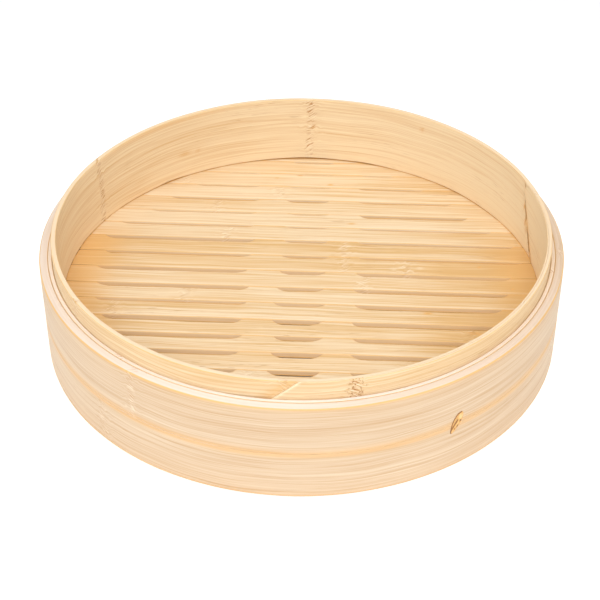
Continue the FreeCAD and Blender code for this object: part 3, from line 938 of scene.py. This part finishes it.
# Cracks in a peg's head: across, along, half lengths, strength. Positive strengths are dark.
PEG_INK = 1.3
PEG_MARKS = (
    (-0.5, 0.8, 0.60, 1.8, 1.3), (-1.0, -2.6, 0.55, 2.2, 1.3), (1.7, 1.8, 0.60, 1.1, 1.1),
    (1.4, -1.6, 0.45, 1.5, 1.0), (0.5, -3.6, 0.45, 1.2, 0.9), (0.7, 4.0, 0.90, 1.4, -0.5),
    (0.6, -0.2, 0.45, 1.2, -0.4),
)


def peg(name, azimuth, lean_degrees, seed):
    """Split-bamboo peg: a pointed oval driven through the wall, its head broken and cracked."""
    low, high = cad_box(name)
    middle_z = (low[2] + high[2]) / 2
    lean = math.radians(lean_degrees)
    dice = random.Random(seed)
    angle = np.linspace(0, 2 * math.pi, PEG_SIDES, endpoint=False)[None, ::-1]
    rough = np.array([dice.uniform(-0.10, 0.10) for _ in range(PEG_SIDES)])[None, :]
    shank = np.array([LINER_INNER_R + 0.05, TIER_R - 4.0, TIER_R - 0.6])
    head = np.linspace(1.0, 0.03, PEG_RINGS)
    scale = np.concatenate([np.ones(len(shank)), head])[:, None]

    # u runs along the peg's length and t across it
    u = (PEG_HALF_TALL * np.sin(angle) + rough) * scale
    wide = PEG_HALF_WIDE * (1 + PEG_FULLER * np.sin(angle))
    t = (wide * np.cos(angle) * np.abs(np.cos(angle)) ** 0.15 + rough) * scale
    dark = 0.0
    for mark_t, mark_u, half_t, half_u, ink in PEG_MARKS:
        dark = dark + PEG_INK * ink * bump(t, mark_t, half_t) * bump(u, mark_u, half_u)
    dome = 0.40 * np.sqrt(np.clip((1 - scale) * 6, 0.0, 1.0)) - 0.16
    face = TIER_R + dome - 0.22 * np.maximum(dark, 0.0)
    sides = shank[:, None] + 0 * angle
    radius = np.concatenate([sides, face[len(shank):]])
    across = t * math.cos(lean) + u * math.sin(lean)
    up = u * math.cos(lean) - t * math.sin(lean)
    turn = math.radians(azimuth) + across / TIER_R
    points = np.stack([radius * np.cos(turn), radius * np.sin(turn), middle_z + up], axis=-1)
    # painted shade round the rim of the head, heavier on its left side (t below zero)
    rim = bump(scale, 1.0, 0.12) * np.where(t < 0, 2.2, 1.1)
    layers = {
        "grain": (u * MM * 0.6, (t * 1.6 + radius * 0.3) * MM, seed * 1.1),
        "marks": (0.05, 0.0, 0.0),
        "tone_and_shading": (-dark, 0.10 + 2.0 * np.maximum(dark, 0.0) + rim, 0.0),
    }
    loft(name, points, layers, peg_wood, [name])


for name, (azimuth, lean_degrees, seed) in PEGS.items():
    peg(name, azimuth, lean_degrees, seed)


# ---------------------------------------------------------------- floor, light and camera
TABLE_SIZE = 6.0
TABLE_DROP = 0.0001          # keeps the table just clear of the underside
TABLE_GLOW = (0.26, 0.05)    # emission next to the basket and far from it
SKY_STRENGTH = 0.60
# Place, diameter and power of each lamp. They all point at the basket.
LAMPS = {
    "key": ((0.05, -1.35, 1.35), 0.9, 17.5),
    "left": ((-1.35, -0.35, 1.15), 1.0, 4.5),
    "right": ((1.35, -0.35, 1.15), 1.0, 4.0),
    "top": ((0.0, 0.15, 1.9), 1.2, 5.5),
}
LAMP_AIM = Vector((0, 0, 0.03))


def make_table():
    """White table. It glows around the basket, but not under it."""
    mesh = bpy.data.meshes.new("table")
    corners = [(-TABLE_SIZE, -TABLE_SIZE, 0), (TABLE_SIZE, -TABLE_SIZE, 0),
               (TABLE_SIZE, TABLE_SIZE, 0), (-TABLE_SIZE, TABLE_SIZE, 0)]
    mesh.from_pydata(corners, [], [(0, 1, 2, 3)])
    table = bpy.data.objects.new("table", mesh)
    table.location.z = cad_low.z - TABLE_DROP
    bpy.context.scene.collection.objects.link(table)
    g = Graph("table_white")
    position = g.node("NewGeometry").outputs["Position"]
    x, y, z = g.node("SeparateXYZ", {"Vector": position}).outputs
    away = g.math("SQRT", g.plus(g.times(x, x), g.times(y, y)))
    wall = (cad_high.x - cad_low.x) / 2
    beyond_wall = g.ramp(away, wall - 0.004, wall - 0.001)
    glow = g.times(beyond_wall, g.ramp(away, wall, 3 * wall, *TABLE_GLOW))
    shader = g.node("BsdfPrincipled", {
        "Base Color": colour(0.93, 0.93, 0.93),
        "Roughness": 0.8,
        "Specular IOR Level": 0.1,
        "Emission Color": colour(1, 1, 1),
        "Emission Strength": glow,
    })
    g.put(g.node("OutputMaterial").inputs["Surface"], shader.outputs[0])
    mesh.materials.append(g.material)


def make_light():
    """White sky and four soft lamps."""
    world = bpy.data.worlds.new("sky")
    world.use_nodes = True
    sky = world.node_tree.nodes["Background"].inputs
    sky["Color"].default_value = colour(1.0, 1.0, 1.0)
    sky["Strength"].default_value = SKY_STRENGTH
    bpy.context.scene.world = world
    for name, (place, size, power) in LAMPS.items():
        data = bpy.data.lights.new(name, "AREA")
        data.shape = "DISK"
        data.size = size
        data.energy = power
        lamp = bpy.data.objects.new(name, data)
        lamp.location = place
        lamp.rotation_euler = (LAMP_AIM - Vector(place)).to_track_quat("-Z", "Y").to_euler()
        bpy.context.scene.collection.objects.link(lamp)
    bpy.context.scene.view_settings.view_transform = "Standard"


make_camera()
make_table()
make_light()
